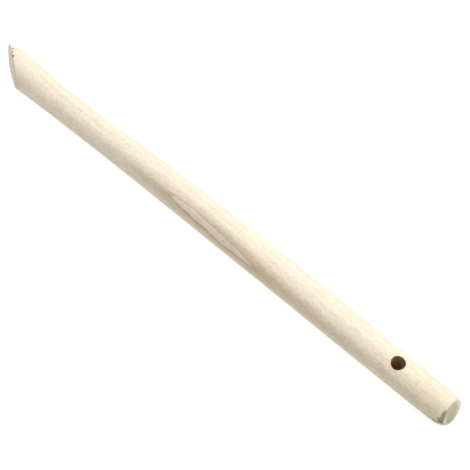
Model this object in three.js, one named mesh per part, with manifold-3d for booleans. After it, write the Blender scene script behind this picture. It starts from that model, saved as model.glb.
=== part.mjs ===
// A long wooden muddler, shaped by hand from one piece of pale wood: a flared head that is sawn off
// at a slant, a slim neck behind it, a full middle, and a grip end with softened edges and a drilled
// hanging hole. It lies along X on the plane z = 0, head at -X and grip at +X.
import * as THREE from "three";
import { mergeVertices } from "three/addons/utils/BufferGeometryUtils.js";
import Module from "manifold-3d";

// Driving dimensions, in millimetres and degrees. Distances run along the stick, head to grip.
// Each station is a round section: [distance, radius, sideways offset of its centre].
const STATIONS = [
  [-8, 7.6, -0.2],
  [0, 8.8, -0.7],
  [6, 9.6, -0.9],
  [14, 10.4, -1.0],
  [24, 10.1, -1.0],
  [39, 9.2, -0.9],
  [61, 8.9, -0.6],
  [96, 9.0, 0.0],
  [142, 9.5, 0.4],
  [188, 9.8, 0.5],
  [238, 9.7, 0.3],
  [289, 9.35, -0.1],
  [335, 8.6, -0.4],
  [345, 8.4, -0.4],
];

// Each end is one flat cut. It crosses the stick's middle line at a distance, and its outward normal
// is turned sideways (towards -Y at the head, +Y at the grip) and then raised. Its rim is eased by an
// arc: the inset grows from least to most towards one side, and the arc's depth keeps in proportion.
const HEAD_CUT = {
  at: 7.3,
  turn: 56.8,
  rise: 7.3,
  leastInset: 5.5,
  mostInset: 5.5,
  mostAt: 0,
  depthPerInset: 0.22,
  arc: [60, 90],
};
const GRIP_CUT = {
  at: 335.5,
  turn: 2,
  rise: 11.5,
  leastInset: 0.4,
  mostInset: 2.85,
  mostAt: 255,
  depthPerInset: 3.1,
  arc: [0, 65],
};

// The hanging hole goes straight down through the grip, a little to one side of its middle.
const HOLE = { diameter: 7.5, at: 301, side: -1.1 };

// Fineness of the faceting.
const SIDES = 48;
const SHAFT_STEPS = 38;
const HEAD_EASE_STEPS = 3;
const GRIP_EASE_STEPS = 5;
const HOLE_SIDES = 36;
const CUT_SOLVE_ROUNDS = 30;

const sections = new THREE.CubicInterpolant(
  STATIONS.map(([distance]) => distance),
  STATIONS.flatMap(([, radius, offset]) => [radius, offset]),
  2,
);

// A point on the skin. The section's circle rests on z = 0, so its centre is one radius up; inset
// draws the skin in towards that centre.
function skinPoint(distance, angle, inset = 0) {
  const [radius, offset] = sections.evaluate(distance);
  const reach = radius - inset;
  return new THREE.Vector3(
    distance,
    offset + reach * Math.cos(angle),
    radius + reach * Math.sin(angle),
  );
}

function cutPlane({ at, turn, rise }, end) {
  const turned = THREE.MathUtils.degToRad(turn);
  const raised = THREE.MathUtils.degToRad(rise);
  const normal = new THREE.Vector3(
    end * Math.cos(turned) * Math.cos(raised),
    end * Math.sin(turned) * Math.cos(raised),
    Math.sin(raised),
  );
  const [radius, offset] = sections.evaluate(at);
  const middle = new THREE.Vector3(at, offset, radius);
  return new THREE.Plane().setFromNormalAndCoplanarPoint(normal, middle);
}

// How far along the stick the line at this angle reaches the cut.
function distanceAtCut(plane, start, angle, inset) {
  let distance = start;
  for (let round = 0; round < CUT_SOLVE_ROUNDS; round += 1) {
    distance -= plane.distanceToPoint(skinPoint(distance, angle, inset)) / plane.normal.x;
  }
  return distance;
}

// One eased rim, from the full skin to the flat face, as part of an ellipse. An arc that starts at 0
// degrees leaves the skin smoothly, and one that ends at 90 degrees meets the face smoothly.
function easedRim(cut, plane, angle, steps) {
  const [start, end] = cut.arc.map((degrees) => THREE.MathUtils.degToRad(degrees));
  const lean = (1 + Math.cos(angle - THREE.MathUtils.degToRad(cut.mostAt))) / 2;
  const fullInset = THREE.MathUtils.lerp(cut.leastInset, cut.mostInset, lean);
  const insetScale = fullInset / (Math.cos(start) - Math.cos(end));
  const depthScale = (fullInset * cut.depthPerInset) / (Math.sin(end) - Math.sin(start));
  const points = [];
  for (let step = 0; step <= steps; step += 1) {
    const bend = THREE.MathUtils.lerp(start, end, step / steps);
    const inset = insetScale * (Math.cos(start) - Math.cos(bend));
    const back = (depthScale * (Math.sin(end) - Math.sin(bend))) / plane.normal.x;
    const distance = distanceAtCut(plane, cut.at, angle, inset) - back;
    points.push(skinPoint(distance, angle, inset));
  }
  return points;
}

// One line of points along the stick, from the rim of the head's face to the rim of the grip's.
function lengthwiseLine(angle, headPlane, gripPlane) {
  const headRim = easedRim(HEAD_CUT, headPlane, angle, HEAD_EASE_STEPS).reverse();
  const gripRim = easedRim(GRIP_CUT, gripPlane, angle, GRIP_EASE_STEPS);
  const start = headRim.at(-1).x;
  const end = gripRim[0].x;
  const shaft = [];
  for (let step = 1; step < SHAFT_STEPS; step += 1) {
    shaft.push(skinPoint(THREE.MathUtils.lerp(start, end, step / SHAFT_STEPS), angle));
  }
  return [...headRim, ...shaft, ...gripRim];
}

function stickGeometry() {
  const headPlane = cutPlane(HEAD_CUT, -1);
  const gripPlane = cutPlane(GRIP_CUT, 1);
  const lines = [];
  // Lines of points start half a side round, so that a flat and not an edge lies underneath.
  for (let side = 0; side < SIDES; side += 1) {
    lines.push(lengthwiseLine((2 * Math.PI * (side + 0.5)) / SIDES, headPlane, gripPlane));
  }
  const rings = lines[0].length;
  const positions = lines.flat().flatMap((point) => point.toArray());
  const corner = (side, ring) => (side % SIDES) * rings + ring;
  const faces = [];
  for (let side = 0; side < SIDES; side += 1) {
    for (let ring = 0; ring < rings - 1; ring += 1) {
      const near = corner(side, ring);
      const far = corner(side, ring + 1);
      const nearNext = corner(side + 1, ring);
      const farNext = corner(side + 1, ring + 1);
      faces.push(near, nearNext, farNext, near, farNext, far);
    }
  }
  for (let side = 1; side < SIDES - 1; side += 1) {
    faces.push(corner(0, 0), corner(side + 1, 0), corner(side, 0));
    faces.push(corner(0, rings - 1), corner(side, rings - 1), corner(side + 1, rings - 1));
  }
  const geometry = new THREE.BufferGeometry();
  geometry.setAttribute("position", new THREE.Float32BufferAttribute(positions, 3));
  geometry.setIndex(faces);
  return geometry;
}

function hangingHoleGeometry() {
  const [radius, offset] = sections.evaluate(HOLE.at);
  const length = 3 * radius;
  const drill = new THREE.CylinderGeometry(HOLE.diameter / 2, HOLE.diameter / 2, length, HOLE_SIDES);
  drill.rotateX(Math.PI / 2);
  drill.translate(HOLE.at, offset + HOLE.side, radius);
  return drill;
}

const wasm = await Module();
wasm.setup();

function toSolid(geometry) {
  const bare = geometry.clone();
  bare.deleteAttribute("normal");
  bare.deleteAttribute("uv");
  const merged = mergeVertices(bare);
  return new wasm.Manifold(
    new wasm.Mesh({
      numProp: 3,
      vertProperties: new Float32Array(merged.attributes.position.array),
      triVerts: new Uint32Array(merged.index.array),
    }),
  );
}

function toGeometry(solid) {
  const mesh = solid.getMesh();
  const geometry = new THREE.BufferGeometry();
  geometry.setAttribute("position", new THREE.BufferAttribute(mesh.vertProperties, 3));
  geometry.setIndex(new THREE.BufferAttribute(mesh.triVerts, 1));
  geometry.computeVertexNormals();
  return geometry;
}

const drilled = toSolid(stickGeometry()).subtract(toSolid(hangingHoleGeometry()));
const geometry = toGeometry(drilled);

// The origin is the middle of the footprint, on the plane that the stick lies on.
geometry.computeBoundingBox();
const middle = geometry.boundingBox.getCenter(new THREE.Vector3());
geometry.translate(-middle.x, -middle.y, -geometry.boundingBox.min.z);

const paleWood = new THREE.MeshStandardMaterial({ color: 0xefe2c4, roughness: 0.7, metalness: 0 });
const stick = new THREE.Mesh(geometry, paleWood);
stick.name = "muddler_stick";

const muddler = new THREE.Group();
muddler.add(stick);

export default muddler;
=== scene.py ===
"""A long wooden muddler: one stick of pale wood, shaped and sanded by hand, with its stage.

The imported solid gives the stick's place and overall size. This script makes the fine surface that
stands for it: the eased rims, the drilled hole, the shaping marks and the wood's own figure.
"""

import math

import bpy
from bpy.props import FloatProperty, FloatVectorProperty, IntProperty, PointerProperty
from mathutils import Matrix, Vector, noise


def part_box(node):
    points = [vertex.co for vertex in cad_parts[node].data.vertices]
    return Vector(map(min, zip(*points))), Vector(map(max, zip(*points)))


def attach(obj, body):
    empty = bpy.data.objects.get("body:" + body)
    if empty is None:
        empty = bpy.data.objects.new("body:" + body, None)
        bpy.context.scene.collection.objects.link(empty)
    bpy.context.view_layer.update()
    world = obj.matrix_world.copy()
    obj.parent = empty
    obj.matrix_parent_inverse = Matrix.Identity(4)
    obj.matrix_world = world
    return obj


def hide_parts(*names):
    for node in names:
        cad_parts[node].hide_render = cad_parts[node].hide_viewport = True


bl_info = {
    "name": "Wooden Muddler",
    "version": (1, 0, 0),
    "blender": (4, 5, 0),
    "location": "3D View > Sidebar > Muddler",
    "description": "Shapes a long wooden muddler with grain, worn edges and a hanging hole",
    "category": "Add Mesh",
}

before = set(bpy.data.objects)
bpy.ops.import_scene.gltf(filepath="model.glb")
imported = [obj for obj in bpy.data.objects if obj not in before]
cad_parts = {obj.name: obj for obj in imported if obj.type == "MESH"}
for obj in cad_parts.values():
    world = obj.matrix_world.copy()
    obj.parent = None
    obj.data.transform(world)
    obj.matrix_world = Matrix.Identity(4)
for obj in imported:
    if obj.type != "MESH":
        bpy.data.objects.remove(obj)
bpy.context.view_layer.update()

STICK_NODE = "muddler_stick"
STICK_LOW, STICK_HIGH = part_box(STICK_NODE)
STICK_LENGTH = STICK_HIGH.x - STICK_LOW.x
MM = 0.001

# Round sections along the stick, head to grip, in millimetres: (distance, radius, sideways offset).
STATIONS = (
    (-8, 7.6, -0.2),
    (0, 8.8, -0.7),
    (6, 9.6, -0.9),
    (14, 10.4, -1.0),
    (24, 10.1, -1.0),
    (39, 9.2, -0.9),
    (61, 8.9, -0.6),
    (96, 9.0, 0.0),
    (142, 9.5, 0.4),
    (188, 9.8, 0.5),
    (238, 9.7, 0.3),
    (289, 9.35, -0.1),
    (335, 8.6, -0.4),
    (345, 8.4, -0.4),
)

# The sawn ends: where each plane crosses the middle line in millimetres, and how its outward normal
# is turned sideways and raised in degrees. The rim is eased by an arc, in degrees, whose inset goes
# from least to most towards one side and whose depth keeps in proportion.
HEAD_CUT = {
    "end": -1,
    "at": 9.5,
    "turn": 56.8,
    "rise": 7.3,
    "insets": (0.25, 0.95),
    "most_at": 5,
    "depth_per_inset": 1.4,
    "arc": (0, 75),
}
GRIP_CUT = {
    "end": 1,
    "at": 335.5,
    "turn": 2,
    "rise": 11.5,
    "insets": (0.4, 2.85),
    "most_at": 255,
    "depth_per_inset": 3.1,
    "arc": (0, 65),
}

HOLE_AT = 301
HOLE_SIDE = -1.1
EASE_STEPS = 24
REACH_ROUNDS = 24


# ---------------------------------------------------------------- the stick's outline


def section(distance):
    """Radius and sideways offset at a distance: cubic pieces that meet with equal slope."""
    last = len(STATIONS) - 2
    i = next((k for k in range(last) if distance < STATIONS[k + 1][0]), last)
    d0, d1 = STATIONS[i][0], STATIONS[i + 1][0]
    t = (distance - d0) / (d1 - d0)
    values = []
    for column in (1, 2):
        rises = [
            (STATIONS[k + 1][column] - STATIONS[k][column]) / (STATIONS[k + 1][0] - STATIONS[k][0])
            for k in (max(i - 1, 0), i, min(i + 1, last))
        ]
        slope0 = (rises[0] + rises[1]) / 2 * (d1 - d0)
        slope1 = (rises[1] + rises[2]) / 2 * (d1 - d0)
        v0, v1 = STATIONS[i][column], STATIONS[i + 1][column]
        values.append(
            v0
            + slope0 * t
            + (3 * (v1 - v0) - 2 * slope0 - slope1) * t * t
            + (slope0 + slope1 - 2 * (v1 - v0)) * t * t * t
        )
    return values


def skin_point(distance, angle, inset=0.0):
    """A point on the skin in millimetres. The round section rests on the plane z = 0."""
    radius, offset = section(distance)
    reach = radius - inset
    return Vector((distance, offset + reach * math.cos(angle), radius + reach * math.sin(angle)))


class Cut:
    """One flat end of the stick."""

    def __init__(self, spec):
        turn, rise = math.radians(spec["turn"]), math.radians(spec["rise"])
        self.end = spec["end"]
        self.at = spec["at"]
        self.insets = spec["insets"]
        self.most_at = math.radians(spec["most_at"])
        self.depth_per_inset = spec["depth_per_inset"]
        self.arc = [math.radians(degrees) for degrees in spec["arc"]]
        self.normal = Vector(
            (
                self.end * math.cos(turn) * math.cos(rise),
                self.end * math.sin(turn) * math.cos(rise),
                math.sin(rise),
            )
        )
        radius, offset = section(self.at)
        self.middle = Vector((self.at, offset, radius))

    def reach(self, angle, inset):
        """How far along the stick the line at this angle meets the cut."""
        distance = self.at
        for _ in range(REACH_ROUNDS):
            gap = (skin_point(distance, angle, inset) - self.middle).dot(self.normal)
            distance -= gap / self.normal.x
        return distance

    def eased_place(self, angle, share):
        """A place on the eased rim, from the full skin (share 0) to the face (share 1)."""
        start, end = self.arc
        bend = start + (end - start) * share
        least, most = self.insets
        full_inset = least + (most - least) * (1 + math.cos(angle - self.most_at)) / 2
        inset = full_inset * (math.cos(start) - math.cos(bend)) / (math.cos(start) - math.cos(end))
        full_depth = full_inset * self.depth_per_inset
        depth = full_depth * (math.sin(end) - math.sin(bend)) / (math.sin(end) - math.sin(start))
        return self.reach(angle, inset) - depth / self.normal.x, inset

    def inset_at(self, angle, distance):
        """How far the eased rim lies under the full skin at this distance."""
        for step in range(EASE_STEPS + 1):
            place, inset = self.eased_place(angle, step / EASE_STEPS)
            if (place - distance) * self.end >= 0:
                break
        return inset


HEAD = Cut(HEAD_CUT)
GRIP = Cut(GRIP_CUT)


# ---------------------------------------------------------------- settings


def size_setting(name, description, default, low=0.0, high=1.0):
    return FloatProperty(
        name=name,
        description=description,
        default=default,
        min=low,
        max=high,
        precision=5,
        subtype="DISTANCE",
        unit="LENGTH",
    )


def colour_setting(name, description, default):
    return FloatVectorProperty(
        name=name,
        description=description,
        default=default,
        size=3,
        min=0.0,
        max=1.0,
        subtype="COLOR",
    )


class StickSettings(bpy.types.PropertyGroup):
    """Sizes of the stick's fine shape."""

    hole_diameter: size_setting("Hole diameter", "Width of the hanging hole", 7.5 * MM, 0.004, 0.010)
    hole_edge: size_setting("Hole edge", "How far the rim of the hole is eased", 0.22 * MM, high=0.001)
    shaping: size_setting("Shaping marks", "Depth of the waves left by shaping", 0.16 * MM, high=0.001)
    relief: size_setting("Grain relief", "Depth of the raised and sunken grain", 0.05 * MM, high=0.001)
    crown: size_setting("Head crown", "Rise of the domed head above its rim", 1.25 * MM, high=0.002)
    chips: size_setting("Rim chips", "Depth of the small chips in the sawn rim", 0.35 * MM, high=0.001)
    sides: IntProperty(name="Sides", description="Faces around the stick", default=192, min=96, max=240)


class WoodSettings(bpy.types.PropertyGroup):
    """Colours and figure of the wood."""

    pale: colour_setting("Pale wood", "Main colour of the sanded side grain", (0.80, 0.71, 0.57))
    tan: colour_setting("Late wood", "Soft tan of the late wood in each ring", (0.62, 0.50, 0.345))
    line: colour_setting("Ring line", "Thin dark line that closes a ring", (0.33, 0.24, 0.155))
    early: colour_setting("Early wood", "Greyish start of a ring", (0.75, 0.665, 0.54))
    sawn: colour_setting("End grain", "Greyer, darker tone of the sawn ends", (0.50, 0.465, 0.33))
    stained: colour_setting("Stained end grain", "Browner patches of the sawn ends", (0.45, 0.38, 0.20))
    # Partly dry end grain, partly painted light: paler paint where the sawn ends turn from the lamp.
    dry: colour_setting("Dry edge and painted light", "Paler edge of the sawn ends", (0.90, 0.84, 0.68))
    torn: colour_setting("Torn grain", "Olive brown of grain that the knife tore", (0.13, 0.10, 0.02))
    # Tint by the grip's end, which side_grain makes strongest towards the bottom.
    grip_end_tint: colour_setting("Grip end tint", "Darker, greener tint by the grip's end, strongest towards the bottom", (0.85, 0.865, 0.755))
    dark: colour_setting("Dark marks", "Near black of pits, gouges and bruises", (0.08, 0.055, 0.025))
    bored: colour_setting("Drilled wall", "Brown of the wall that the drill burnt", (0.38, 0.21, 0.05))
    ring_width: size_setting("Ring width", "Growth of one year", 3.0 * MM, 0.0005, 0.010)
    contrast: FloatProperty(
        name="Figure contrast",
        description="How strongly the growth rings show",
        default=0.2,
        min=0.0,
        max=1.0,
        subtype="FACTOR",
    )


class StageSettings(bpy.types.PropertyGroup):
    """Camera and light."""

    turn: FloatProperty(
        name="Camera turn",
        description="Direction of the camera around the stick, from the front towards the grip",
        default=math.radians(43.76),
        subtype="ANGLE",
        unit="ROTATION",
    )
    height: FloatProperty(
        name="Camera height",
        description="Angle of the camera above the floor",
        default=math.radians(56.0),
        subtype="ANGLE",
        unit="ROTATION",
    )
    distance: size_setting("Camera distance", "From camera to aim", 1.9604 * STICK_LENGTH, 0.1, 10.0)
    lens: FloatProperty(name="Lens", description="Focal length", default=96.6, min=20.0, unit="CAMERA")
    key_power: FloatProperty(
        name="Key light",
        description="Power of the main soft light",
        default=38.0,
        min=0.0,
        unit="POWER",
    )
    fill: FloatProperty(
        name="Fill light",
        description="Strength of the light all round",
        default=0.5,
        min=0.0,
    )


# ---------------------------------------------------------------- the stick's mesh


# What the material reads on each sawn end, from 0 to 1: how much end grain shows, and how dark the
# bruised rim is. The pale rings are the face's rings, counted in from the rim, that are painted
# paler: partly dry end grain, partly painted light where the face turns from the lamp.
HEAD_SAWN = 0.15
HEAD_RIM = 0.7
HEAD_PALE_RINGS = 40
GRIP_SAWN = 0.9
GRIP_RIM = 0.6
GRIP_PALE_RINGS = 8
# The grip's pale rim is partly dry end grain and partly painted light: none on the upper front
# edge, which the lamp lights, and most on the far lower edge, which turns from it.
NOT_PALE_AT = math.radians(105)
NOT_PALE_SPREAD = math.radians(40)
FAR_PALE = 1.6
FAR_PALE_AT = math.radians(-25)

# The torn crescent on the grip's eased rim: where it is round the stick and from skin to face.
TORN_AT = math.radians(150)
TORN_SPREAD = math.radians(29)
TORN_SHARE = 0.64
TORN_SHARE_SPREAD = 0.25
TORN_DEPTH = 0.6
TORN_RIDGE_TURN = 27

# Small bites out of the head's rim: how busy they are round it, where a bite starts and how it grows.
CHIPS_ROUND = 9
CHIP_FROM = 0.15
CHIP_GROWTH = 2.2

# The sawn faces' unevenness (steps in a millimetre, height in millimetres), and the grip's crown.
FACE_FUZZ = ((1.9, 0.05), (0.45, 0.07))
FACE_FUZZ_START = 6
GRIP_CROWN = 0.15

# The skin's rings are slanted like the cuts at both ends, and square between these two distances.
# Crowding draws the head's rings together at its rim.
HEAD_SQUARE_AT = 62
GRIP_SQUARE_AT = 317
HEAD_EASE_RINGS = 8
HEAD_RINGS = 62
HEAD_CROWDING = 1.7
SHAFT_RINGS = 232
GRIP_SHAFT_RINGS = 8
GRIP_RINGS = 22
GRIP_EASE_RINGS = 24
FACE_RINGS = 26
RIM_LINE_RINGS = 3

# The square windows in the skin that the hole's patches fill, the patches' rings, drawn together at
# the rim, and the wall between them, with the bit's ridges, tears and a brown smudge at its rims.
WINDOW_HALF = 6
WINDOW_CELLS = 24
WINDOW_MARGIN = 1.9
PATCH_RINGS = 11
PATCH_CROWDING = 2.2
WALL_RINGS = 28
BIT_RIDGE = 0.03
BIT_TURN_PER_MM = 5
HOLE_TEAR = 0.10
HOLE_TEARS_ROUND = 6
HOLE_TEAR_LENGTH = 4
HOLE_SMUDGE = 0.25
HOLE_SMUDGE_WIDTH = 0.25


def unevenness(distance, angle, length, busy_round, start):
    """Smooth random rise and fall, with its length in millimetres and how busy it is round the stick."""
    around = Vector((math.cos(angle), math.sin(angle), 0.0))
    return noise.noise(Vector((distance / length, around.x * busy_round, around.y * busy_round + start)))


class SkinMesh:
    """Collects the stick's vertices, faces and the marks that its material reads."""

    def __init__(self, settings):
        self.settings = settings
        self.sides = settings.sides
        self.points = []
        self.faces = []
        self.marks = {"sawn": [], "rim": [], "bore": [], "torn": [], "dry": []}

    def add(self, point, **marks):
        self.points.append(point)
        for name, values in self.marks.items():
            values.append(marks.get(name, 0.0))
        return len(self.points) - 1

    def angle(self, side):
        return 2 * math.pi * side / self.sides

    def wear(self, distance, angle):
        """How far shaping and sanding have taken the skin down here, in millimetres."""
        slow = unevenness(distance, angle, length=46, busy_round=0.9, start=3.1)
        flats = unevenness(distance, angle, length=90, busy_round=2.6, start=8.4)
        fibre = unevenness(distance, angle, length=17, busy_round=9.5, start=5.7)
        shaping = self.settings.shaping / MM
        relief = self.settings.relief / MM
        return shaping * (1.0 + 0.8 * slow + 0.5 * flats) / 2 + relief * (1 + fibre) / 2

    def add_skin(self, distance, angle, inset=0.0, **marks):
        drop = inset + self.wear(distance, angle)
        return self.add(skin_point(distance, angle, drop), **marks)

    def join_rings(self, first, second):
        count = len(first)
        for i in range(count):
            k = (i + 1) % count
            self.faces.append((first[i], first[k], second[k], second[i]))

    def drop_unused_points(self):
        """Ring points inside the hole's windows have no face."""
        kept = sorted({index for face in self.faces for index in face})
        place = {index: position for position, index in enumerate(kept)}
        self.points = [self.points[index] for index in kept]
        self.marks = {name: [values[index] for index in kept] for name, values in self.marks.items()}
        self.faces = [tuple(place[index] for index in face) for face in self.faces]


def shaft_distances():
    """Distances of the square rings, close together only beside the hole."""
    window_start, window_end = HOLE_AT - WINDOW_HALF, HOLE_AT + WINDOW_HALF
    stretches = [
        (HEAD_SQUARE_AT, window_start, SHAFT_RINGS),
        (window_start, window_end, WINDOW_CELLS),
        (window_end, GRIP_SQUARE_AT, GRIP_SHAFT_RINGS),
    ]
    places = [HEAD_SQUARE_AT]
    for start, end, count in stretches:
        places += [start + (end - start) * (k + 1) / count for k in range(count)]
    return places


def head_skin(mesh, angles):
    """From the rim of the head's face, over its eased edge, to the first square ring."""
    rings = []
    for step in range(HEAD_EASE_RINGS, 0, -1):
        share = step / HEAD_EASE_RINGS
        ring = []
        for angle in angles:
            distance, inset = HEAD.eased_place(angle, share)
            distance += rim_chip(mesh, angle) * share
            marks = {"sawn": HEAD_SAWN * share, "rim": HEAD_RIM * share}
            ring.append(mesh.add_skin(distance, angle, inset, **marks))
        rings.append(ring)
    starts = [HEAD.eased_place(angle, 0.0)[0] for angle in angles]
    for step in range(HEAD_RINGS):
        share = (step / HEAD_RINGS) ** HEAD_CROWDING
        places = [start + (HEAD_SQUARE_AT - start) * share for start in starts]
        rings.append([mesh.add_skin(distance, angle) for distance, angle in zip(places, angles)])
    return rings


def grip_skin(mesh, angles):
    """From the last square ring, over the torn and eased edge, to the rim of the grip's face."""
    rings = []
    ends = [GRIP.eased_place(angle, 0.0)[0] for angle in angles]
    for step in range(1, GRIP_RINGS):
        share = step / GRIP_RINGS
        places = [GRIP_SQUARE_AT + (end - GRIP_SQUARE_AT) * share for end in ends]
        rings.append([mesh.add_skin(distance, angle) for distance, angle in zip(places, angles)])
    for step in range(GRIP_EASE_RINGS + 1):
        share = step / GRIP_EASE_RINGS
        ring = []
        for angle in angles:
            distance, inset = GRIP.eased_place(angle, share)
            torn = torn_grain(angle, share)
            # Pale paint: partly dry end grain, partly painted light where the rim turns from the lamp.
            marks = {"sawn": GRIP_SAWN * share**4, "torn": torn, "dry": share**10 * dried_and_lit(GRIP, angle)}
            ring.append(mesh.add_skin(distance, angle, inset + TORN_DEPTH * torn, **marks))
        rings.append(ring)
    return rings


def build_skin(mesh):
    """The long skin, ring by ring, and the index of the ring where the hole's windows start."""
    angles = [mesh.angle(side) for side in range(mesh.sides)]
    rings = head_skin(mesh, angles)
    window_ring = len(rings) + SHAFT_RINGS
    rings += [[mesh.add_skin(distance, angle) for angle in angles] for distance in shaft_distances()]
    rings += grip_skin(mesh, angles)
    return rings, window_ring


def torn_grain(angle, share):
    """How torn the grip's eased rim is: a crescent on the lower front, with ridges along the rim."""
    side = math.exp(-(((angle - TORN_AT) / TORN_SPREAD) ** 6))
    along = math.exp(-(((share - TORN_SHARE) / TORN_SHARE_SPREAD) ** 6))
    around = Vector((math.cos(angle) * 7, math.sin(angle) * 7, share * 3))
    ridges = 0.24 * math.sin(TORN_RIDGE_TURN * share + 3 * noise.noise(around))
    height = 0.66 + ridges + 0.3 * noise.noise(around * 2)
    return side * along * min(1.0, max(0.0, height))


def rim_chip(mesh, angle):
    """Small bites out of the sawn rim, in millimetres back along the stick."""
    bite = noise.noise(Vector((math.cos(angle) * CHIPS_ROUND, math.sin(angle) * CHIPS_ROUND, 1.3)))
    return max(0.0, bite - CHIP_FROM) * CHIP_GROWTH * mesh.settings.chips / MM


def hole_radius(mesh):
    return mesh.settings.hole_diameter / MM / 2


def hole_centre():
    offset = section(HOLE_AT)[1]
    return HOLE_AT, offset + HOLE_SIDE


def window_span(mesh):
    """First and last side index of the window that the hole's rim fills, on the upper face."""
    radius = section(HOLE_AT)[0]
    reach = hole_radius(mesh) + WINDOW_MARGIN
    near = math.acos((HOLE_SIDE + reach) / radius)
    far = math.acos((HOLE_SIDE - reach) / radius)
    step = 2 * math.pi / mesh.sides
    return round(near / step), round(far / step)


def window_border(mesh, rings, window_ring, upper):
    """The skin's vertices round one of the hole's windows, in order."""
    first, last = window_span(mesh)
    near, far = (first, last) if upper else (mesh.sides - first, mesh.sides - last)
    step = 1 if upper else -1
    columns = list(range(near, far + step, step))
    rows = list(range(window_ring, window_ring + WINDOW_CELLS + 1))
    border = [(row, columns[0]) for row in rows[:-1]]
    border += [(rows[-1], column) for column in columns[:-1]]
    border += [(row, columns[-1]) for row in reversed(rows[1:])]
    border += [(rows[0], column) for column in reversed(columns[1:])]
    return [rings[row][column] for row, column in border]


def patch_point(mesh, x, y, beyond, upper):
    """A point of the skin beside the hole, this far beyond the wall, with the hole's edge eased."""
    radius, offset = section(x)
    angle = math.acos((y - offset) / radius)
    point = skin_point(x, angle, mesh.wear(x, angle if upper else -angle))
    if not upper:
        point.z = 2 * radius - point.z
    ease = mesh.settings.hole_edge / MM
    if beyond < ease:
        drop = ease - math.sqrt(max(0.0, ease**2 - (ease - beyond) ** 2))
        point.z += -drop if upper else drop
    return point


def hole_patch(mesh, rings, window_ring, upper):
    """Skin between the window in the rings and the hole's rim. Returns the rim loop."""
    cx, cy = hole_centre()
    radius = hole_radius(mesh)
    loops = [window_border(mesh, rings, window_ring, upper)]
    for k in range(PATCH_RINGS - 1, -1, -1):
        share = (k / PATCH_RINGS) ** PATCH_CROWDING
        loop = []
        for index in loops[0]:
            outer = mesh.points[index]
            bearing = math.atan2(outer.y - cy, outer.x - cx)
            x = cx + radius * math.cos(bearing)
            y = cy + radius * math.sin(bearing)
            x += (outer.x - x) * share
            y += (outer.y - y) * share
            beyond = math.hypot(x - cx, y - cy) - radius
            smudge = HOLE_SMUDGE * max(0.0, 1.0 - beyond / HOLE_SMUDGE_WIDTH)
            loop.append(mesh.add(patch_point(mesh, x, y, beyond, upper), bore=smudge))
        loops.append(loop)
    for outer, inner in zip(loops, loops[1:]):
        if upper:
            mesh.join_rings(inner, outer)
        else:
            mesh.join_rings(outer, inner)
    return loops[-1]


def wall_point(mesh, high, low, share):
    """A point of the drilled wall, between its upper and its lower rim."""
    cx, cy = hole_centre()
    point = high.lerp(low, share)
    bearing = math.atan2(point.y - cy, point.x - cx)
    ridge = BIT_RIDGE * math.sin(BIT_TURN_PER_MM * point.z + bearing)
    round_x, round_y = math.cos(bearing) * HOLE_TEARS_ROUND, math.sin(bearing) * HOLE_TEARS_ROUND
    tear = HOLE_TEAR * noise.noise(Vector((round_x, round_y, point.z / HOLE_TEAR_LENGTH)))
    out = 1 + (ridge + max(0.0, tear)) / hole_radius(mesh)
    return Vector((cx + (point.x - cx) * out, cy + (point.y - cy) * out, point.z))


def bore_wall(mesh, upper_rim, lower_rim):
    """The drilled wall, with the faint ridges that a bit leaves."""
    previous = upper_rim
    for k in range(1, WALL_RINGS):
        current = []
        for top, bottom in zip(upper_rim, lower_rim):
            point = wall_point(mesh, mesh.points[top], mesh.points[bottom], k / WALL_RINGS)
            current.append(mesh.add(point, bore=1.0))
        mesh.join_rings(current, previous)
        previous = current
    mesh.join_rings(lower_rim, previous)


def dried_and_lit(cut, angle):
    """Pale paint on a sawn rim, partly dry end grain and partly painted light: all of the head's, and the
    grip's but its lit upper front.
    """
    if cut is HEAD:
        return 1.0
    return 1 - math.exp(-(((angle - NOT_PALE_AT) / NOT_PALE_SPREAD) ** 4))


def pale_rings(cut, angle):
    """How many of the face's rings are painted pale below this part of its rim, most where the grip's rim
    turns from the lamp.
    """
    if cut is HEAD:
        return HEAD_PALE_RINGS
    return GRIP_PALE_RINGS * (1 + FAR_PALE * max(0.0, math.cos(angle - FAR_PALE_AT)))


def close_face(mesh, rim, cut, crown, sawn, rim_line):
    """A sawn end, from its rim in to the middle, crowned and a little rough."""
    middle = Vector((0.0, 0.0, 0.0))
    for index in rim:
        middle += mesh.points[index]
    middle /= len(rim)
    previous = rim
    for k in range(1, FACE_RINGS):
        reach = 1 - k / FACE_RINGS
        lift = crown * (1 - reach * reach)
        current = []
        for side, index in enumerate(rim):
            angle = mesh.angle(side)
            point = middle.lerp(mesh.points[index], reach) + cut.normal * lift
            rough = sum(noise.noise(point * scale) * height for scale, height in FACE_FUZZ)
            point += cut.normal * rough * min(1.0, FACE_FUZZ_START * (1 - reach))
            bruise = rim_line * max(0.0, 1 - k / RIM_LINE_RINGS)
            # Pale paint on the face's outer rings: partly dry end grain, partly painted light.
            dry = max(0.0, 1 - k / pale_rings(cut, angle)) * dried_and_lit(cut, angle)
            current.append(mesh.add(point, sawn=sawn, rim=bruise, dry=dry))
        if cut is HEAD:
            mesh.join_rings(current, previous)
        else:
            mesh.join_rings(previous, current)
        previous = current
    tip = mesh.add(middle + cut.normal * crown, sawn=sawn)
    for i in range(len(previous)):
        a, b = previous[i], previous[(i + 1) % len(previous)]
        mesh.faces.append((b, a, tip) if cut is HEAD else (a, b, tip))


def join_skin(mesh, rings, window_ring):
    """Faces between the skin's rings, except in the hole's two windows."""
    first, last = window_span(mesh)
    lower_first, lower_last = mesh.sides - last, mesh.sides - first
    for row in range(len(rings) - 1):
        inside = window_ring <= row < window_ring + WINDOW_CELLS
        near, far = rings[row], rings[row + 1]
        for k in range(mesh.sides):
            if inside and (first <= k < last or lower_first <= k < lower_last):
                continue
            n = (k + 1) % mesh.sides
            mesh.faces.append((near[k], near[n], far[n], far[k]))


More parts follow.
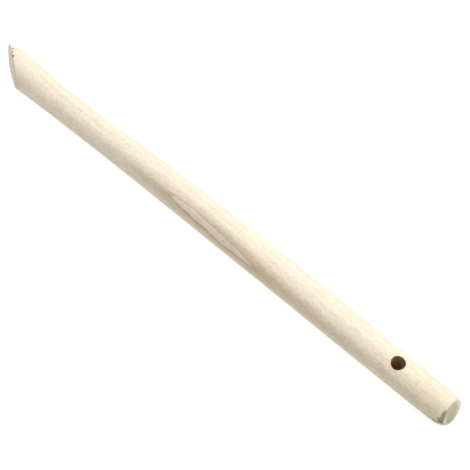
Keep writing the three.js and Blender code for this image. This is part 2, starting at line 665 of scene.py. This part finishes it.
def stick_object(settings):
    mesh = SkinMesh(settings)
    rings, window_ring = build_skin(mesh)
    join_skin(mesh, rings, window_ring)
    upper_rim = hole_patch(mesh, rings, window_ring, True)
    lower_rim = hole_patch(mesh, rings, window_ring, False)
    bore_wall(mesh, upper_rim, lower_rim)
    close_face(mesh, rings[0], HEAD, settings.crown / MM, HEAD_SAWN, HEAD_RIM)
    close_face(mesh, rings[-1], GRIP, GRIP_CROWN, GRIP_SAWN, GRIP_RIM)
    mesh.drop_unused_points()
    data = bpy.data.meshes.new("pale_wood_stick")
    data.from_pydata(placed_in_frame(mesh.points), [], mesh.faces)
    for name, values in mesh.marks.items():
        attribute = data.attributes.new(name, "FLOAT", "POINT")
        attribute.data.foreach_set("value", values)
    data.shade_smooth()
    piece = bpy.data.objects.new("pale_wood_stick", data)
    bpy.context.scene.collection.objects.link(piece)
    return piece


def placed_in_frame(points):
    """Millimetres along the stick to metres in the frame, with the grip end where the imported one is."""
    low_y = min(p.y for p in points)
    high_y = max(p.y for p in points)
    shift = Vector(
        (
            STICK_HIGH.x / MM - max(p.x for p in points),
            (STICK_LOW.y + STICK_HIGH.y) / 2 / MM - (low_y + high_y) / 2,
            STICK_LOW.z / MM - min(p.z for p in points),
        )
    )
    return [(p + shift) * MM for p in points]


# ---------------------------------------------------------------- the wood


# Where the stick's own distances and the outline's y = 0 come in the frame, in millimetres.
FRAME_X = -166.34
FRAME_Y = 0.35

# The growth rings' pith runs beside the stick, away from the figured side, and drifts round it. The
# ring that the figure belongs to just breaks the surface where the rings bow out the most.
FIGURE_ANGLE = math.radians(144)
FIGURE_AT = 175
FIGURE_WIDTH = 1.7
FIGURE_RING = 39.06
PITH_DRIFT = 7.0
PITH_DRIFT_OVER = 42.0
PITH_AWAY = 30.0
PITH_HEIGHT = 9.7
BOW_AT = 170
BOW_DEPTH = 1.9
BOW_OVER = 59.4

# The wood's noises: steps in a millimetre along, across and up the stick, detail and roughness.
NOISES = {
    "fibre": ((0.02, 0.9, 0.9), 5.0, 0.6),
    "hair": ((0.07, 4.0, 4.0), 3.0, 0.6),
    "patch": ((0.012, 0.05, 0.05), 2.0, 0.5),
    "fleck": ((0.13, 0.5, 0.5), 3.0, 0.6),
    "grit": ((0.45, 1.0, 1.0), 2.0, 0.5),
    "slow bend": ((0.02, 0.09, 0.09), 1.0, 0.5),
    "quick bend": ((0.11, 0.35, 0.35), 2.0, 0.5),
    "gap": ((0.09, 0.5, 0.5), 2.0, 0.5),
    "blotch": ((0.3, 0.3, 0.3), 3.0, 0.6),
    "speckle": ((1.6, 1.6, 1.6), 4.0, 0.7),
    "stain": ((0.13, 0.13, 0.13), 2.0, 0.5),
    "pit": ((0.75, 0.75, 0.75), 2.0, 0.5),
    "dash": ((0.8, 0.8, 0.8), 2.0, 0.5),
}
PORE_SCALE = (0.22, 2.6, 2.6)
SPOT_CORE = 0.55

ROUGHNESS = 0.56
SHEEN = 0.15
SHEEN_ROUGHNESS = 0.5
BUMP_STRENGTH = 0.55
BUMP_DEPTH = 0.08 * MM


class Finish:
    """Writes down a material's nodes in few words."""

    def __init__(self, name):
        self.material = bpy.data.materials.new(name)
        self.material.use_nodes = True
        self.tree = self.material.node_tree
        self.tree.nodes.clear()

    def feed(self, socket, value):
        if isinstance(value, bpy.types.NodeSocket):
            self.tree.links.new(value, socket)
        else:
            socket.default_value = value

    def node(self, kind, sockets=(), **options):
        node = self.tree.nodes.new(kind)
        for name, value in options.items():
            setattr(node, name, value)
        for socket, value in dict(sockets).items():
            self.feed(node.inputs[socket], value)
        return node

    def calc(self, operation, *values, clamp=False):
        sockets = dict(enumerate(values))
        return self.node("ShaderNodeMath", sockets, operation=operation, use_clamp=clamp).outputs[0]

    def total(self, *values):
        result = values[0]
        for value in values[1:]:
            result = self.calc("ADD", result, value)
        return result

    def product(self, *values):
        result = values[0]
        for value in values[1:]:
            result = self.calc("MULTIPLY", result, value)
        return result

    def between(self, value, low, high, to_low=0.0, to_high=1.0):
        """Maps low..high to to_low..to_high with soft ends."""
        sockets = {"Value": value, "From Min": low, "From Max": high, "To Min": to_low, "To Max": to_high}
        return self.node("ShaderNodeMapRange", sockets, interpolation_type="SMOOTHSTEP").outputs[0]

    def stretched(self, place, x, y, z):
        node = self.node("ShaderNodeVectorMath", {0: place, 1: (x, y, z)}, operation="MULTIPLY")
        return node.outputs[0]

    def clouds(self, place, detail, roughness):
        sockets = {"Vector": place, "Scale": 1.0, "Detail": detail, "Roughness": roughness}
        return self.node("ShaderNodeTexNoise", sockets).outputs[0]

    def blend(self, share, first, second, blend_type="MIX"):
        node = self.node("ShaderNodeMix", data_type="RGBA", blend_type=blend_type)
        self.feed(node.inputs[0], share)
        for socket, value in ((node.inputs[6], first), (node.inputs[7], second)):
            self.feed(socket, value if isinstance(value, bpy.types.NodeSocket) else (*value[:3], 1.0))
        return node.outputs[2]

    def steps(self, value, stops):
        node = self.node("ShaderNodeValToRGB", {0: value})
        ramp = node.color_ramp
        while len(ramp.elements) < len(stops):
            ramp.elements.new(0.5)
        for element, (position, colour) in zip(ramp.elements, stops):
            element.position = position
            element.color = (*colour[:3], 1.0)
        return node.outputs[0]

    def mark(self, name):
        return self.node("ShaderNodeAttribute", attribute_name=name).outputs["Fac"]

    def spot(self, place, centre, radius):
        """1 at the centre and 0 beyond the radius, in millimetres."""
        gap = self.node("ShaderNodeVectorMath", {0: place, 1: centre}, operation="DISTANCE")
        return self.between(gap.outputs["Value"], radius * SPOT_CORE, radius, 1.0, 0.0)


def skin_place(distance, degrees):
    """A point of the skin in the frame, in millimetres."""
    angle = math.radians(degrees)
    inset = max(cut.inset_at(angle, distance) for cut in (HEAD, GRIP))
    point = skin_point(distance, angle, inset)
    return point.x + FRAME_X, point.y + FRAME_Y, point.z


def mixed(first, second, share):
    return tuple(a + (b - a) * share for a, b in zip(first, second))


class Grain:
    """What every layer of the wood reads: the place in millimetres, its noises and the growth rings."""

    def __init__(self, wood, ring_width):
        self.wood = wood
        coordinates = wood.node("ShaderNodeTexCoord").outputs["Object"]
        self.place = wood.stretched(coordinates, 1 / MM, 1 / MM, 1 / MM)
        self.x, self.y, self.z = wood.node("ShaderNodeSeparateXYZ", {0: self.place}).outputs
        self.noises = {}
        fuzz = wood.calc("ADD", self.noise("blotch"), self.noise("speckle"))
        self.fuzz = wood.calc("MULTIPLY", fuzz, 0.5)
        depth, self.beside = ring_depth(self)
        frayed = wood.calc("MULTIPLY", wood.calc("SUBTRACT", self.noise("hair"), 0.5), 0.22)
        self.from_figure = wood.total(depth, -FIGURE_RING, frayed)
        self.year = wood.calc("FRACT", wood.calc("DIVIDE", self.from_figure, ring_width))

    def noise(self, name):
        """One of the wood's noises, about 0 to 1, made once."""
        if name not in self.noises:
            scale, detail, roughness = NOISES[name]
            place = self.wood.stretched(self.place, *scale)
            self.noises[name] = self.wood.clouds(place, detail, roughness)
        return self.noises[name]

    def along(self, start, end, *values):
        """Maps a stretch of the stick, in millimetres from the head, to 0..1 or to the two values."""
        return self.wood.between(self.x, start + FRAME_X, end + FRAME_X, *values)


def ring_depth(grain):
    """Distance from the pith in millimetres, with the rings' bow and unevenness, and how far round."""
    wood = grain.wood
    across = wood.calc("SUBTRACT", grain.y, FRAME_Y)
    up = wood.calc("SUBTRACT", grain.z, PITH_HEIGHT)
    cos, sin = math.cos(FIGURE_ANGLE), math.sin(FIGURE_ANGLE)
    outward = wood.total(wood.calc("MULTIPLY", across, cos), wood.calc("MULTIPLY", up, sin), PITH_AWAY)
    run = wood.calc("MULTIPLY", wood.calc("SUBTRACT", grain.x, FIGURE_AT + FRAME_X), 1 / PITH_DRIFT_OVER)
    drift = wood.calc("MULTIPLY", wood.calc("TANH", run), PITH_DRIFT)
    beside = wood.total(wood.calc("MULTIPLY", across, -sin), wood.calc("MULTIPLY", up, cos))
    sideways = wood.calc("ADD", beside, drift)
    squares = wood.total(wood.product(outward, outward), wood.product(sideways, sideways))
    bow_run = wood.calc("MULTIPLY", wood.calc("SUBTRACT", grain.x, BOW_AT + FRAME_X), 1 / BOW_OVER)
    bow_fade = wood.calc("EXPONENT", wood.product(bow_run, bow_run, -1.0))
    bow = wood.calc("MULTIPLY", wood.calc("SUBTRACT", bow_fade, 1.0), BOW_DEPTH)
    slow = wood.calc("SUBTRACT", grain.noise("slow bend"), 0.5)
    quick = wood.calc("SUBTRACT", grain.noise("quick bend"), 0.5)
    quick_depth = wood.between(beside, -1.0, 1.5, 0.15, 0.06)
    uneven = wood.total(wood.calc("MULTIPLY", slow, 0.16), wood.calc("MULTIPLY", quick, quick_depth))
    return wood.total(wood.calc("SQRT", squares), bow, uneven), beside


def ring_colours(grain, colours):
    """One year's growth, from its greyish start to the tan that closes it."""
    pale, tan, early = colours.pale, colours.tan, colours.early
    stops = (
        (0.0, early),
        (0.12, mixed(early, pale, 0.3)),
        (0.28, pale),
        (0.45, mixed(pale, tan, 0.15)),
        (0.65, mixed(pale, tan, 0.55)),
        (0.85, mixed(pale, tan, 0.85)),
        (0.97, tan),
        (0.99, tan),
        (1.0, early),
    )
    return grain.wood.steps(grain.year, stops)


def figure_share(grain):
    """1 on the figure's own ring, less on the rings beside it and none by the head."""
    wood = grain.wood
    away = wood.calc("MULTIPLY", grain.from_figure, 1 / FIGURE_WIDTH)
    near = wood.calc("EXPONENT", wood.product(away, away, -1.0))
    return wood.calc("MULTIPLY", near, grain.along(60, 120))


def ring_line(grain, figure, contrast):
    """The thin dark line that closes a ring, broken, and fainter above and past the figure."""
    wood = grain.wood
    opening = wood.between(grain.year, 0.958, 0.976)
    closing = wood.between(grain.year, 0.988, 0.998, 1.0, 0.0)
    broken = wood.between(grain.noise("gap"), 0.38, 0.58, 0.6, 1.0)
    lower = wood.between(grain.beside, -1.5, 1.5, 0.4, 1.0)
    from_middle = wood.calc("ABSOLUTE", wood.calc("SUBTRACT", grain.x, FIGURE_AT + FRAME_X))
    fading = wood.between(from_middle, 26, 33, 1.0, 0.25)
    shown = wood.calc("ADD", figure, contrast, clamp=True)
    return wood.product(opening, closing, broken, lower, fading, shown)


def open_pores(grain):
    """Short pores, most of them in the wood that grew early in the year."""
    wood = grain.wood
    place = wood.stretched(grain.place, *PORE_SCALE)
    cells = wood.node("ShaderNodeTexVoronoi", {"Vector": place, "Scale": 1.0}).outputs["Distance"]
    early_share = wood.between(grain.year, 0.0, 0.35, 1.0, 0.25)
    return wood.calc("MULTIPLY", wood.between(cells, 0.06, 0.17, 1.0, 0.0), early_share)


def side_grain(grain, pores, colours):
    """The sanded skin: rings, flecks, pores, a darker greener tint by the grip's end that grows towards the
    bottom, and small dark marks.
    """
    wood, contrast = grain.wood, colours.contrast
    figure = figure_share(grain)
    line = ring_line(grain, figure, contrast)
    upper = wood.between(grain.beside, -3.2, -0.5, 1.0, 0.0)
    upper_fade = wood.calc("MULTIPLY", upper, grain.along(145, 190, 0.75, 0.0))
    faded = wood.calc("MULTIPLY", figure, wood.calc("SUBTRACT", 1.0, upper_fade))
    shown = wood.calc("ADD", wood.calc("MULTIPLY", faded, 1 - contrast), contrast, clamp=True)
    side = wood.blend(shown, colours.pale, ring_colours(grain, colours))
    side = wood.blend(wood.between(grain.noise("fleck"), 0.48, 0.70, 0.0, 0.28), side, colours.tan)
    side = wood.blend(line, side, colours.line)
    side = wood.blend(wood.calc("MULTIPLY", pores, 0.30), side, colours.line)
    # Darker and greener towards the bottom by the grip's end.
    grip_end_tint = wood.calc("MULTIPLY", grain.along(285, 330), wood.between(grain.z, 7, 19, 1.0, 0.4))
    side = wood.blend(grip_end_tint, side, colours.grip_end_tint, "MULTIPLY")
    return wood.blend(knots_and_gouges(wood, grain.place), side, colours.dark)


def end_grain(grain, colours):
    """The sawn ends: greyer, darker late in the year, with browner patches."""
    wood, sawn = grain.wood, colours.sawn
    fuzzy = wood.between(grain.fuzz, 0.38, 0.60)
    end = wood.blend(fuzzy, mixed(sawn, colours.line, 0.45), sawn)
    late = wood.between(grain.year, 0.55, 0.97, 0.0, 0.55)
    end = wood.blend(late, end, mixed(sawn, colours.line, 0.5))
    stain = wood.between(grain.noise("stain"), 0.40, 0.60, 0.1, 0.75)
    return wood.blend(stain, end, colours.stained)


def worn_places(grain, colour, colours):
    """Pale edges, partly dry end grain and partly painted light, with their pits, the bruised rim, the torn
    crescent and the drilled wall.
    """
    wood = grain.wood
    rim, bore, torn, dry = [wood.mark(name) for name in ("rim", "bore", "torn", "dry")]
    # Pale paint on the sawn rims: partly dry end grain, partly painted light.
    dry_and_lit_edge = wood.calc("MULTIPLY", dry, wood.between(grain.noise("speckle"), 0.38, 0.56, 0.35, 0.95))
    colour = wood.blend(dry_and_lit_edge, colour, colours.dry)
    pits = wood.calc("MULTIPLY", wood.between(grain.noise("pit"), 0.57, 0.64, 0.0, 0.6), dry)
    colour = wood.blend(pits, colour, colours.line)
    bruise = wood.calc("MULTIPLY", rim, wood.between(grain.noise("dash"), 0.46, 0.56, 0.05, 0.8))
    colour = wood.blend(bruise, colour, mixed(colours.line, colours.dark, 0.3))
    tear = wood.calc("MULTIPLY", torn, wood.between(grain.noise("speckle"), 0.35, 0.60, 1.0, 0.75))
    colour = wood.blend(tear, colour, colours.torn)
    fuzzy = wood.between(grain.fuzz, 0.42, 0.60)
    bored = wood.blend(fuzzy, colours.bored, mixed(colours.bored, colours.tan, 0.3))
    return wood.blend(bore, colour, bored)


def light_and_dark(grain):
    """Slight changes of tone over the wood, with painted shade on the underside towards the grip's end."""
    wood = grain.wood
    tone = wood.total(
        wood.calc("MULTIPLY", grain.noise("fibre"), 0.20),
        wood.calc("MULTIPLY", grain.noise("hair"), 0.22),
        wood.calc("MULTIPLY", grain.noise("patch"), 0.10),
        wood.between(grain.noise("fleck"), 0.40, 0.60, 0.0, 0.08),
        wood.between(grain.noise("grit"), 0.38, 0.62, 0.0, 0.10),
        0.66,
    )
    # Painted shade: darker on the underside towards the grip's end, darkest at its very bottom by the end.
    underside_shade = wood.calc("MULTIPLY", grain.along(215, 300), wood.between(grain.z, 5.5, 10.5, 0.16, 0.0))
    contact_shade = wood.calc("MULTIPLY", grain.along(300, 330), wood.between(grain.z, 1.5, 5.0, 0.16, 0.0))
    tone = wood.calc("SUBTRACT", tone, wood.calc("ADD", underside_shade, contact_shade))
    return wood.node("ShaderNodeCombineXYZ", {0: tone, 1: tone, 2: tone}).outputs[0]


def sanded_pale_wood(colours):
    """One solid wood for the whole stick: the same rings cross the sides, the ends and the hole."""
    wood = Finish("sanded_pale_wood")
    grain = Grain(wood, colours.ring_width / MM)
    pores = open_pores(grain)
    sawn = wood.mark("sawn")
    colour = wood.blend(sawn, side_grain(grain, pores, colours), end_grain(grain, colours))
    colour = worn_places(grain, colour, colours)
    colour = wood.blend(1.0, colour, light_and_dark(grain), "MULTIPLY")
    rough = wood.total(
        wood.calc("MULTIPLY", grain.noise("fibre"), 0.16),
        wood.calc("MULTIPLY", sawn, 0.14),
        ROUGHNESS,
    )
    height = wood.total(
        wood.calc("MULTIPLY", grain.noise("fibre"), 0.5),
        wood.calc("MULTIPLY", grain.noise("hair"), 0.5),
        wood.calc("MULTIPLY", pores, -0.7),
        wood.product(grain.noise("speckle"), sawn, 2.0),
    )
    relief = {"Strength": BUMP_STRENGTH, "Distance": BUMP_DEPTH, "Height": height}
    bump = wood.node("ShaderNodeBump", relief)
    shader = wood.node(
        "ShaderNodeBsdfPrincipled",
        {
            "Base Color": colour,
            "Roughness": rough,
            "Normal": bump.outputs[0],
            "Sheen Weight": SHEEN,
            "Sheen Roughness": SHEEN_ROUGHNESS,
        },
    )
    wood.node("ShaderNodeOutputMaterial", {"Surface": shader.outputs[0]})
    return wood.material


# Small dark pits behind the head's rim, a pin knot with its halo, and faint scratches by the hole:
# (distance, degrees round the stick, radius in millimetres, darkness).
BLEMISHES = (
    (9.2, 72, 0.85, 1.0),
    (11.6, 84, 0.80, 0.9),
    (14.4, 96, 0.90, 1.0),
    (24, 150, 8.0, 0.05),
    (36, 143, 0.60, 0.35),
    (294, 136, 0.60, 0.50),
    (297, 152, 2.6, 0.08),
    (314.5, 114, 0.9, 0.16),
)
# Gouges where a knife lifted the grain under the grip's rim: from, to, radius, darkness. Each is a
# row of beads, wider in the middle.
GOUGES = (
    ((332.4, 168), (335.1, 180), 0.76, 1.0),
    ((332.0, 157), (334.6, 166), 0.55, 1.0),
    ((330.0, 178), (333.0, 183), 0.60, 0.9),
)
GOUGE_BEADS = 9
GOUGE_TIP = 0.55


def knots_and_gouges(wood, place):
    marks = 0.0
    spots = list(BLEMISHES)
    for start, end, radius, dark in GOUGES:
        for bead in range(GOUGE_BEADS):
            share = bead / (GOUGE_BEADS - 1)
            distance, degrees = mixed(start, end, share)
            width = GOUGE_TIP + (1 - GOUGE_TIP) * math.sin(math.pi * share)
            spots.append((distance, degrees, radius * width, dark))
    for distance, degrees, radius, dark in spots:
        spot = wood.spot(place, skin_place(distance, degrees), radius)
        marks = wood.calc("MAXIMUM", marks, wood.calc("MULTIPLY", spot, dark))
    return marks


# ---------------------------------------------------------------- floor, light and camera


FLOOR_HALF = 2.5
FLOOR_COLOUR = (0.90, 0.90, 0.90, 1.0)
FLOOR_ROUGHNESS = 0.9
FLOOR_LIFT = 0.68
SKY_COLOUR = (1.0, 0.99, 0.97, 1.0)
CAMERA_AIM = Vector((21.27, 2.04, 10.15)) * MM
KEY_DIRECTION = Vector((0.10, 0.42, 0.90))
KEY_DISTANCE = 2.0
KEY_SIZE = 1.5


def lay_floor():
    """A pale floor, which the camera sees as almost white. Its lift gives the stick no light."""
    half = FLOOR_HALF
    data = bpy.data.meshes.new("studio_floor")
    corners = [(-half, -half, 0), (half, -half, 0), (half, half, 0), (-half, half, 0)]
    data.from_pydata(corners, [], [(0, 1, 2, 3)])
    floor = bpy.data.objects.new("studio_floor", data)
    bpy.context.scene.collection.objects.link(floor)
    white = Finish("white_studio_floor")
    seen = white.node("ShaderNodeLightPath").outputs["Is Camera Ray"]
    shader = white.node(
        "ShaderNodeBsdfPrincipled",
        {
            "Base Color": FLOOR_COLOUR,
            "Roughness": FLOOR_ROUGHNESS,
            "Emission Color": (1.0, 1.0, 1.0, 1.0),
            "Emission Strength": white.calc("MULTIPLY", seen, FLOOR_LIFT),
        },
    )
    white.node("ShaderNodeOutputMaterial", {"Surface": shader.outputs[0]})
    data.materials.append(white.material)
    return floor


def light_all_round(strength):
    """Soft light from everywhere, which the camera also sees as the backdrop."""
    world = bpy.data.worlds.new("soft_studio")
    world.use_nodes = True
    tree = world.node_tree
    tree.nodes.clear()
    soft = tree.nodes.new("ShaderNodeBackground")
    soft.inputs["Color"].default_value = SKY_COLOUR
    soft.inputs["Strength"].default_value = strength
    output = tree.nodes.new("ShaderNodeOutputWorld")
    tree.links.new(soft.outputs[0], output.inputs["Surface"])
    bpy.context.scene.world = world


def hang_key_light(power):
    data = bpy.data.lights.new("key_light", "AREA")
    data.shape = "DISK"
    data.size = KEY_SIZE
    data.energy = power
    light = bpy.data.objects.new("key_light", data)
    away = KEY_DIRECTION.normalized()
    light.location = away * KEY_DISTANCE
    light.rotation_euler = away.to_track_quat("Z", "Y").to_euler()
    bpy.context.scene.collection.objects.link(light)


def set_camera(settings):
    data = bpy.data.cameras.new("camera")
    data.lens = settings.lens
    data.clip_start = 0.01
    camera = bpy.data.objects.new("camera", data)
    away = Vector(
        (
            math.sin(settings.turn) * math.cos(settings.height),
            -math.cos(settings.turn) * math.cos(settings.height),
            math.sin(settings.height),
        )
    )
    camera.location = CAMERA_AIM + away * settings.distance
    camera.rotation_euler = away.to_track_quat("Z", "Y").to_euler()
    bpy.context.scene.collection.objects.link(camera)
    bpy.context.scene.camera = camera


# ---------------------------------------------------------------- operators and panel


class MUDDLER_OT_shape_stick(bpy.types.Operator):
    """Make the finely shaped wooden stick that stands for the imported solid"""

    bl_idname = "muddler.shape_stick"
    bl_label = "Shape Stick"
    bl_options = {"REGISTER", "UNDO"}

    def execute(self, context):
        stick = stick_object(context.scene.muddler_stick)
        stick.data.materials.append(sanded_pale_wood(context.scene.muddler_wood))
        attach(stick, "root")
        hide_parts(STICK_NODE)
        return {"FINISHED"}


class MUDDLER_OT_set_stage(bpy.types.Operator):
    """Lay the pale floor, hang the soft lights and place the camera"""

    bl_idname = "muddler.set_stage"
    bl_label = "Set Stage"
    bl_options = {"REGISTER", "UNDO"}

    def execute(self, context):
        settings = context.scene.muddler_stage
        lay_floor()
        light_all_round(settings.fill)
        hang_key_light(settings.key_power)
        set_camera(settings)
        context.scene.view_settings.view_transform = "Standard"
        return {"FINISHED"}


class MUDDLER_PT_sidebar(bpy.types.Panel):
    """Lists the muddler's settings and its operators"""

    bl_idname = "MUDDLER_PT_sidebar"
    bl_label = "Wooden Muddler"
    bl_space_type = "VIEW_3D"
    bl_region_type = "UI"
    bl_category = "Muddler"

    def draw(self, context):
        scene = context.scene
        for group in (scene.muddler_stick, scene.muddler_wood, scene.muddler_stage):
            box = self.layout.box()
            for name in group.__annotations__:
                box.prop(group, name)
        self.layout.operator(MUDDLER_OT_shape_stick.bl_idname)
        self.layout.operator(MUDDLER_OT_set_stage.bl_idname)


CLASSES = (
    StickSettings,
    WoodSettings,
    StageSettings,
    MUDDLER_OT_shape_stick,
    MUDDLER_OT_set_stage,
    MUDDLER_PT_sidebar,
)


def register():
    for each in CLASSES:
        bpy.utils.register_class(each)
    bpy.types.Scene.muddler_stick = PointerProperty(type=StickSettings)
    bpy.types.Scene.muddler_wood = PointerProperty(type=WoodSettings)
    bpy.types.Scene.muddler_stage = PointerProperty(type=StageSettings)


def unregister():
    del bpy.types.Scene.muddler_stage
    del bpy.types.Scene.muddler_wood
    del bpy.types.Scene.muddler_stick
    for each in reversed(CLASSES):
        bpy.utils.unregister_class(each)


def main():
    register()
    bpy.ops.muddler.shape_stick()
    bpy.ops.muddler.set_stage()


if __name__ == "__main__":
    main()
